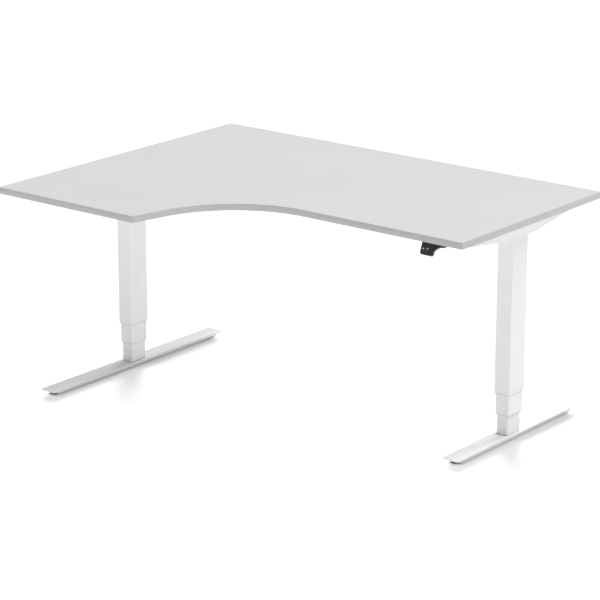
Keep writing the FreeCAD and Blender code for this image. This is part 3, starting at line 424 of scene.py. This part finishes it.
def merged_copy(node):
    """A node's shape with its triangles welded and its flat faces made whole."""
    bm = bmesh.new()
    bm.from_mesh(FRAME["nodes"][node].data)
    bmesh.ops.remove_doubles(bm, verts=bm.verts, dist=WELD)
    bmesh.ops.dissolve_limit(bm, angle_limit=FLAT_ANGLE, verts=bm.verts, edges=bm.edges)
    return bm


def soften(bm, radius, segments=2, least_angle=40, keep=None):
    """Rounds every edge that turns by more than the least angle; keep picks which of them."""
    edges = [e for e in bm.edges if len(e.link_faces) == 2
             and e.calc_face_angle(0) > math.radians(least_angle) and (not keep or keep(e))]
    bmesh.ops.bevel(bm, geom=edges, offset=radius, segments=segments, profile=0.5,
                    affect="EDGES", clamp_overlap=True)


def softened(node, finish, radius, segments=2):
    """A piece with a node's shape and rounded edges."""
    bm = merged_copy(node)
    soften(bm, radius, segments)
    return finished_piece(node + "_finished", bm, node, finish)


def eased(node, finish, kind=None):
    """A softened part whose radius and segments are in EASED."""
    return softened(node, finish, *EASED[kind or node])


def clad(node, finish):
    """Gives a part that stays as it is its finish."""
    slots = FRAME["nodes"][node].data.materials
    slots.clear()
    slots.append(finish_of(finish))


def faces_down(face):
    return face.normal.z < -0.2


def paint_faces(piece, finish, chosen):
    """Gives the chosen faces of a piece a second finish."""
    piece.data.materials.append(finish_of(finish))
    for face in piece.data.polygons:
        if chosen(face):
            face.material_index = 1


# -------------------------------------------------------------------- desk top
def make_top(settings):
    band = softened("edge_band", "band", settings.band_round, segments=3)
    panel = finished_piece("tabletop_laminate", merged_copy("tabletop_panel"),
                           "tabletop_panel", "laminate")
    paint_faces(panel, "underside", faces_down)
    return band, panel


class MakeDeskTop(bpy.types.Operator):
    """Make the laminated panel and its edge band"""

    bl_idname = "desk.make_top"
    bl_label = "Desk top"

    def execute(self, context):
        make_top(context.scene.desk_top)
        return {"FINISHED"}


# ------------------------------------------------------------------- steelwork
NEARLY = 0.9            # share of a tube's wall within which a point is on its outside
# the darker rim is painted shade, standing for the shadow line under each tube's mouth
PAST_LIP = 1.5          # height of the darker rim, as a share of the lip's radius


def make_tube(node, settings):
    """A stage's tube, with a rounded outer rim round its mouth. The rim's downward faces get
    painted shade, a dark grey that stands for the shadow line under the rim.
    """
    low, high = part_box(node)
    middle, half = (low + high) / 2, (high - low) / 2
    bm = merged_copy(node)

    def on_outside(point):
        """True on the four flat walls and on the round of each corner."""
        wall_gap = min(half[i] - abs(point[i] - middle[i]) for i in (0, 1))
        reach = [max(0.0, abs(point[i] - middle[i]) - half[i] + TUBE_CORNER_RADIUS)
                 for i in (0, 1)]
        corner_gap = TUBE_CORNER_RADIUS - math.hypot(*reach)
        return wall_gap < settings.tube_wall * NEARLY or corner_gap < settings.tube_wall / 2

    def on_outer_foot(edge):
        return all(abs(v.co.z - low.z) < LEVEL and on_outside(v.co) for v in edge.verts)

    soften(bm, settings.lip, keep=on_outer_foot)
    piece = finished_piece(node + "_finished", bm, node, "paint")
    rim_top = low.z + settings.lip * PAST_LIP
    # painted shade on the rim's downward faces, for the shadow line under the tube's mouth
    paint_faces(piece, "lip", lambda face: faces_down(face) and face.center.z < rim_top)
    return piece


def make_steelwork(settings):
    for side in SIDES:
        for stage in ("outer", "middle", "inner"):
            make_tube(f"{side}_{stage}_tube", settings)
        softened(f"{side}_side_arm", "paint", settings.sheet_round)
        softened(f"{side}_foot_plate", "paint", settings.foot_round, segments=3)
        softened(f"{side}_foot_beam", "paint", settings.sheet_round)
    for rail in ("front_rail", "back_rail"):
        softened(f"{rail}_sleeve", "paint", settings.sheet_round)
        softened(f"{rail}_tube", "paint", settings.sheet_round)


class MakeSteelwork(bpy.types.Operator):
    """Make the painted tubes, arms, rails and feet with eased edges"""

    bl_idname = "desk.make_steelwork"
    bl_label = "Steelwork"

    def execute(self, context):
        make_steelwork(context.scene.desk_steelwork)
        return {"FINISHED"}


# ---------------------------------------------------------------------- drives
def make_drives():
    for side in SIDES:
        eased(f"{side}_column_head", "cast", "column_head")
        eased(f"{side}_gear_motor", "motor", "gear_motor")
        for nut in ("upper_nut", "lower_nut"):
            clad(f"{side}_{nut}", "nut")
        for spindle in ("upper_spindle", "lower_spindle"):
            clad(f"{side}_{spindle}", "thread")
        clad(f"{side}_drive_rod", "zinc")
        clad(f"{side}_base_plate", "zinc")
        for stage in ("outer", "middle"):
            clad(f"{side}_{stage}_glides", "glide")
        for end in ("front", "back"):
            eased(f"{side}_{end}_leveller", "leveller", "leveller")


class MakeDrives(bpy.types.Operator):
    """Finish the motors, spindles, nuts, glides and levelling feet"""

    bl_idname = "desk.make_drives"
    bl_label = "Drives and glides"

    def execute(self, context):
        make_drives()
        return {"FINISHED"}


# ---------------------------------------------------------------------- screws
SCREW_SETS = ("tabletop_screws", "frame_screws", "small_screws",
              "left_foot_bolts", "right_foot_bolts")
RECESS_SIDES = 6
RECESS_PROUD = 0.00001  # the recess's cutter starts this far before the head
HEAD_EASING = 0.1       # radius on a head's edges, as a share of its height
HEAD_LEAST_ANGLE = 60


def shells_of(bm):
    """The vertices of each separate shell, in the order of its first vertex."""
    seen = set()
    for first in bm.verts:
        if first in seen:
            continue
        seen.add(first)
        shell, front = [], [first]
        while front:
            vert = front.pop()
            shell.append(vert)
            for edge in vert.link_edges:
                other = edge.other_vert(vert)
                if other not in seen:
                    seen.add(other)
                    front.append(other)
        yield shell


def screw_facts(node):
    """Each screw's head centre and way, and the sizes that the set shares."""
    bm = bmesh.new()
    bm.from_mesh(FRAME["nodes"][node].data)
    bmesh.ops.remove_doubles(bm, verts=bm.verts, dist=WELD)
    places, sizes = [], None
    for shell in shells_of(bm):
        points = [v.co for v in shell]
        low = Vector(min(p[i] for p in points) for i in range(3))
        high = Vector(max(p[i] for p in points) for i in range(3))
        middle, span = (low + high) / 2, high - low
        # the two spans across a round screw are equal, so its axis has the other one
        axis = max(range(3), key=lambda i: abs(sorted(span)[1] - span[i]))
        across = [i for i in range(3) if i != axis]
        reach = {}
        for p in points:
            level = round(p[axis], 6)
            away = math.hypot(*(p[i] - middle[i] for i in across))
            reach[level] = max(reach.get(level, 0.0), away)
        levels = sorted(reach)
        way = 1 if reach[levels[0]] > reach[levels[-1]] else -1
        if way < 0:
            levels.reverse()
        start = middle.copy()
        start[axis] = (low if way > 0 else high)[axis]
        forward = Vector((0, 0, 0))
        forward[axis] = way
        places.append((start, forward))
        head_high = abs(levels[1] - start[axis])
        sizes = (reach[levels[0]], head_high, reach[levels[-1]], span[axis] - head_high)
    bm.free()
    return places, sizes


def screw_tree():
    """Nodes that stand a screw with a hexagonal recess on each point of a mesh."""
    tree = bpy.data.node_groups.new("screw_set", "GeometryNodeTree")
    face = tree.interface
    face.new_socket("Places", in_out="INPUT", socket_type="NodeSocketGeometry")
    sockets = {}
    for name, kind, value in (
        ("Head Radius", "NodeSocketFloat", 0.005), ("Head Height", "NodeSocketFloat", 0.003),
        ("Shank Radius", "NodeSocketFloat", 0.003), ("Shank Length", "NodeSocketFloat", 0.012),
        ("Recess Radius", "NodeSocketFloat", 0.0025), ("Recess Depth", "NodeSocketFloat", 0.0018),
        ("Facets", "NodeSocketInt", 28), ("Finish", "NodeSocketMaterial", None),
    ):
        socket = face.new_socket(name, in_out="INPUT", socket_type=kind)
        if value is not None:
            socket.default_value = value
        sockets[name] = socket.identifier
    face.new_socket("Screws", in_out="OUTPUT", socket_type="NodeSocketGeometry")
    add = tree.nodes.new
    link = tree.links.new
    start, end = add("NodeGroupInput"), add("NodeGroupOutput")

    def bar(radius, depth, vertices=None):
        """An upright cylinder that stands on its own origin."""
        item, lift, up = (add("GeometryNodeMeshCylinder"), add("GeometryNodeTransform"),
                          add("ShaderNodeCombineXYZ"))
        half = add("ShaderNodeMath")
        half.operation = "MULTIPLY"
        half.inputs[1].default_value = 0.5
        link(start.outputs[radius], item.inputs["Radius"])
        link(start.outputs[depth], item.inputs["Depth"])
        if vertices:
            item.inputs["Vertices"].default_value = vertices
        else:
            link(start.outputs["Facets"], item.inputs["Vertices"])
        link(start.outputs[depth], half.inputs[0])
        link(half.outputs[0], up.inputs["Z"])
        link(item.outputs["Mesh"], lift.inputs["Geometry"])
        link(up.outputs["Vector"], lift.inputs["Translation"])
        return lift.outputs["Geometry"]

    head = bar("Head Radius", "Head Height")
    recess = bar("Recess Radius", "Recess Depth", RECESS_SIDES)
    shank = bar("Shank Radius", "Shank Length")
    sink = add("GeometryNodeTransform")
    sink.inputs["Translation"].default_value = (0, 0, -RECESS_PROUD)
    link(recess, sink.inputs["Geometry"])
    carve = add("GeometryNodeMeshBoolean")
    carve.operation = "DIFFERENCE"
    carve.solver = "FLOAT"
    link(head, carve.inputs["Mesh 1"])
    link(sink.outputs["Geometry"], carve.inputs["Mesh 2"])
    past_head, shift = add("ShaderNodeCombineXYZ"), add("GeometryNodeTransform")
    link(start.outputs["Head Height"], past_head.inputs["Z"])
    link(past_head.outputs["Vector"], shift.inputs["Translation"])
    link(shank, shift.inputs["Geometry"])
    both = add("GeometryNodeJoinGeometry")
    link(carve.outputs["Mesh"], both.inputs["Geometry"])
    link(shift.outputs["Geometry"], both.inputs["Geometry"])
    way, turn = add("GeometryNodeInputNamedAttribute"), add("FunctionNodeAlignRotationToVector")
    way.data_type = "FLOAT_VECTOR"
    way.inputs["Name"].default_value = "way"
    turn.axis = "Z"
    link(way.outputs["Attribute"], turn.inputs["Vector"])
    stand = add("GeometryNodeInstanceOnPoints")
    link(start.outputs["Places"], stand.inputs["Points"])
    link(both.outputs["Geometry"], stand.inputs["Instance"])
    link(turn.outputs["Rotation"], stand.inputs["Rotation"])
    real, paint = add("GeometryNodeRealizeInstances"), add("GeometryNodeSetMaterial")
    link(stand.outputs["Instances"], real.inputs["Geometry"])
    link(real.outputs["Geometry"], paint.inputs["Geometry"])
    link(start.outputs["Finish"], paint.inputs["Material"])
    link(paint.outputs["Geometry"], end.inputs["Screws"])
    return tree, sockets


def make_screw_set(node, tree, sockets, settings):
    places, (head_radius, head, shank_radius, shank) = screw_facts(node)
    seeds = bpy.data.meshes.new(node + "_places")
    seeds.from_pydata([p for p, way in places], [], [])
    way = seeds.attributes.new("way", "FLOAT_VECTOR", "POINT")
    way.data.foreach_set("vector", [c for p, w in places for c in w])
    host = bpy.data.objects.new(node + "_host", seeds)
    bpy.context.scene.collection.objects.link(host)
    modifier = host.modifiers.new("screws", "NODES")
    modifier.node_group = tree
    for name, value in (
        ("Head Radius", head_radius), ("Head Height", head),
        ("Shank Radius", shank_radius), ("Shank Length", shank),
        ("Recess Radius", head_radius * settings.recess_share),
        ("Recess Depth", head * settings.recess_deep),
        ("Facets", settings.facets), ("Finish", finish_of("zinc")),
    ):
        modifier[sockets[name]] = value
    evaluated = host.evaluated_get(bpy.context.evaluated_depsgraph_get())
    mesh = bpy.data.meshes.new_from_object(evaluated)
    bm = bmesh.new()
    bm.from_mesh(mesh)
    bpy.data.objects.remove(host)
    for spent in (seeds, mesh):
        bpy.data.meshes.remove(spent)
    bmesh.ops.recalc_face_normals(bm, faces=bm.faces)
    soften(bm, head * HEAD_EASING, segments=1, least_angle=HEAD_LEAST_ANGLE)
    return finished_piece(node + "_finished", bm, node, "zinc")


class MakeScrews(bpy.types.Operator):
    """Make every screw and bolt with its drive recess"""

    bl_idname = "desk.make_screws"
    bl_label = "Screws and bolts"

    def execute(self, context):
        tree, sockets = screw_tree()
        for node in SCREW_SETS:
            make_screw_set(node, tree, sockets, context.scene.desk_fixings)
        return {"FINISHED"}


# ----------------------------------------------------------------- electronics
def make_electronics():
    eased("control_box_cover", "box")
    eased("control_box_base", "box")
    eased("mains_inlet", "housing")
    clad("control_board", "circuit")
    for node in ("left_motor_lead", "right_motor_lead", "handset_lead"):
        clad(node, "sheath")
    clad("lead_clips", "housing")


class MakeElectronics(bpy.types.Operator):
    """Make the control box with its inlet and finish its board and leads"""

    bl_idname = "desk.make_electronics"
    bl_label = "Control box and leads"

    def execute(self, context):
        make_electronics()
        return {"FINISHED"}


# --------------------------------------------------------------------- handset
FACE_OUT = Vector((0, -math.cos(HANDSET_LEAN), math.sin(HANDSET_LEAN)))
FACE_DOWN = Vector((0, -math.sin(HANDSET_LEAN), -math.cos(HANDSET_LEAN)))
PRINT_PROUD = 0.00004   # the print's front, before the key's face


def key_face(node):
    """The middle of a key's front face."""
    points = [v.co for v in FRAME["nodes"][node].data.vertices]
    front = max(p.dot(FACE_OUT) for p in points)
    face = [p for p in points if front - p.dot(FACE_OUT) < LEVEL]
    down = [p.dot(FACE_DOWN) for p in face]
    across = [p.x for p in face]
    return (ALONG_X * (min(across) + max(across)) / 2
            + FACE_DOWN * (min(down) + max(down)) / 2 + FACE_OUT * front)


def make_arrow(name, node, up, settings):
    """A thin printed triangle on a key, pointing up or down."""
    middle = key_face(node) + FACE_OUT * PRINT_PROUD
    tip = -1 if up else 1
    half, high = settings.arrow_wide / 2, settings.arrow_high
    outline = ((0, tip * high / 2), (-half, -tip * high / 2), (half, -tip * high / 2))
    bm = bmesh.new()
    rims = []
    for depth in (0, -2 * PRINT_PROUD):
        rims.append([bm.verts.new(middle + ALONG_X * x + FACE_DOWN * y
                                  + FACE_OUT * depth) for x, y in outline])
    bm.faces.new(rims[0])
    bm.faces.new(rims[1][::-1])
    for i in range(3):
        bm.faces.new((rims[0][i], rims[1][i], rims[1][(i + 1) % 3], rims[0][(i + 1) % 3]))
    bmesh.ops.recalc_face_normals(bm, faces=bm.faces)
    mesh = bpy.data.meshes.new(name)
    bm.to_mesh(mesh)
    bm.free()
    mesh.materials.append(finish_of("sign"))
    arrow = bpy.data.objects.new(name, mesh)
    bpy.context.scene.collection.objects.link(arrow)
    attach(arrow, BODY_OF[node])
    return arrow


def make_handset(settings):
    softened("handset_housing", "housing", settings.edge_round, segments=3)
    eased("handset_face", "face")
    clad("handset_board", "circuit")
    for node, up in (("up_key", True), ("down_key", False)):
        eased(node, "key", "key")
        make_arrow(node + "_arrow", node, up, settings)


class MakeHandset(bpy.types.Operator):
    """Make the handset with its face, keys and printed arrows"""

    bl_idname = "desk.make_handset"
    bl_label = "Handset"

    def execute(self, context):
        make_handset(context.scene.desk_handset)
        return {"FINISHED"}


# ----------------------------------------------------------------------- stage
FLOOR_HALF = 30.0
KEY_FROM = Vector((0.34, 0.10, 0.93))
BACK_FROM = Vector((-0.15, 0.72, 0.68))
SENSOR_WIDTH = 36       # millimetres
FARTHEST = 200
# turn from the back edge, rise and spread in degrees, and share of the floor wash
FLOOR_LIGHTS = {
    "floor_light_behind": (38, 11, 26, 0.5),
    "floor_light_left": (150, 34, 70, 0.25),
    "floor_light_right": (-80, 34, 70, 0.25),
}


def floor_material():
    material = bpy.data.materials.new("pale_floor")
    material.use_nodes = True
    shader = material.node_tree.nodes["Principled BSDF"]
    shader.inputs["Base Color"].default_value = (0.8, 0.8, 0.8, 1)
    shader.inputs["Roughness"].default_value = 0.9
    shader.inputs["Specular IOR Level"].default_value = 0.0
    return material


def make_floor():
    mesh = bpy.data.meshes.new("floor")
    corners = [(x * FLOOR_HALF, y * FLOOR_HALF, 0)
               for x, y in ((-1, -1), (1, -1), (1, 1), (-1, 1))]
    mesh.from_pydata(corners, [], [(0, 1, 2, 3)])
    mesh.materials.append(floor_material())
    floor = bpy.data.objects.new("floor", mesh)
    bpy.context.scene.collection.objects.link(floor)
    return floor


def sun_lamp(name, energy, spread, source):
    """A distant light whose rays come from the side that source points to."""
    lamp = bpy.data.lights.new(name, "SUN")
    lamp.energy = energy
    lamp.angle = spread
    item = bpy.data.objects.new(name, lamp)
    item.rotation_euler = source.to_track_quat("Z", "Y").to_euler()
    bpy.context.scene.collection.objects.link(item)
    return item


def make_floor_wash(floor, settings):
    """Low lights that whiten the floor and leave the desk alone."""
    only_floor = bpy.data.collections.new("floor_only")
    only_floor.objects.link(floor)
    for name, (turn, rise, spread, share) in FLOOR_LIGHTS.items():
        turn, rise = math.radians(turn), math.radians(rise)
        source = Vector((-math.sin(turn), math.cos(turn), math.tan(rise)))
        strength = settings.floor_wash * share * math.pi / math.sin(rise)
        lamp = sun_lamp(name, strength, math.radians(spread), source)
        lamp.light_linking.receiver_collection = only_floor


def make_lights(floor, settings):
    scene = bpy.context.scene
    world = bpy.data.worlds.new("soft_studio")
    world.use_nodes = True
    background = world.node_tree.nodes["Background"]
    background.inputs["Color"].default_value = (1, 1, 1, 1)
    background.inputs["Strength"].default_value = settings.sky
    scene.world = world
    no_floor = bpy.data.collections.new("all_but_the_floor")
    no_floor.objects.link(floor)
    no_floor.collection_objects[0].light_linking.link_state = "EXCLUDE"
    for name, energy, source in (("key_light", settings.key_light, KEY_FROM),
                                 ("back_light", settings.back_light, BACK_FROM)):
        lamp = sun_lamp(name, energy, settings.spread, source)
        lamp.light_linking.receiver_collection = no_floor
    scene.view_settings.view_transform = "Standard"


def make_camera(settings):
    scene = bpy.context.scene
    turn, tilt = settings.azimuth, settings.elevation
    right = Vector((math.cos(turn), math.sin(turn), 0))
    back = Vector((math.sin(turn) * math.cos(tilt), -math.cos(turn) * math.cos(tilt),
                   math.sin(tilt)))
    up = back.cross(right)
    aim = Vector((0, 0, settings.aim_high)) + right * settings.aim_right
    aim -= up * settings.aim_down
    data = bpy.data.cameras.new("camera")
    data.lens = settings.lens
    data.sensor_width = SENSOR_WIDTH
    data.clip_end = FARTHEST
    camera = bpy.data.objects.new("camera", data)
    placing = Matrix((right, up, back)).transposed().to_4x4()
    placing.translation = aim + back * settings.distance
    camera.matrix_world = placing
    scene.collection.objects.link(camera)
    scene.camera = camera


class MakeStage(bpy.types.Operator):
    """Make the floor, the studio light and the camera"""

    bl_idname = "desk.make_stage"
    bl_label = "Stage"

    def execute(self, context):
        settings = context.scene.desk_stage
        floor = make_floor()
        make_floor_wash(floor, settings)
        make_lights(floor, settings)
        make_camera(settings)
        return {"FINISHED"}


# ---------------------------------------------------------------- registration
class DeskPanel(bpy.types.Panel):
    """Every setting of the desk and its stage, and the operators that use them"""

    bl_idname = "VIEW3D_PT_desk"
    bl_label = "Height adjustable desk"
    bl_space_type = "VIEW_3D"
    bl_region_type = "UI"
    bl_category = "Desk"

    def draw(self, context):
        for name, group in SETTINGS.items():
            box = self.layout.box()
            settings = getattr(context.scene, name)
            for key in group.__annotations__:
                box.prop(settings, key)
        for operator in OPERATORS:
            self.layout.operator(operator.bl_idname)


SETTINGS = {"desk_top": DeskTopSettings, "desk_steelwork": SteelworkSettings,
            "desk_fixings": FixingSettings, "desk_handset": HandsetSettings,
            "desk_stage": StageSettings}
OPERATORS = (MakeStage, MakeDeskTop, MakeSteelwork, MakeDrives, MakeScrews,
             MakeElectronics, MakeHandset)


def register():
    for item in (*SETTINGS.values(), *OPERATORS, DeskPanel):
        bpy.utils.register_class(item)
    for name, group in SETTINGS.items():
        setattr(bpy.types.Scene, name, PointerProperty(type=group))


def unregister():
    for name in SETTINGS:
        delattr(bpy.types.Scene, name)
    for item in reversed((*SETTINGS.values(), *OPERATORS, DeskPanel)):
        bpy.utils.unregister_class(item)


def main():
    register()
    bpy.ops.desk.make_stage()
    bpy.ops.desk.make_top()
    bpy.ops.desk.make_steelwork()
    bpy.ops.desk.make_drives()
    bpy.ops.desk.make_screws()
    bpy.ops.desk.make_electronics()
    bpy.ops.desk.make_handset()


if __name__ == "__main__":
    main()
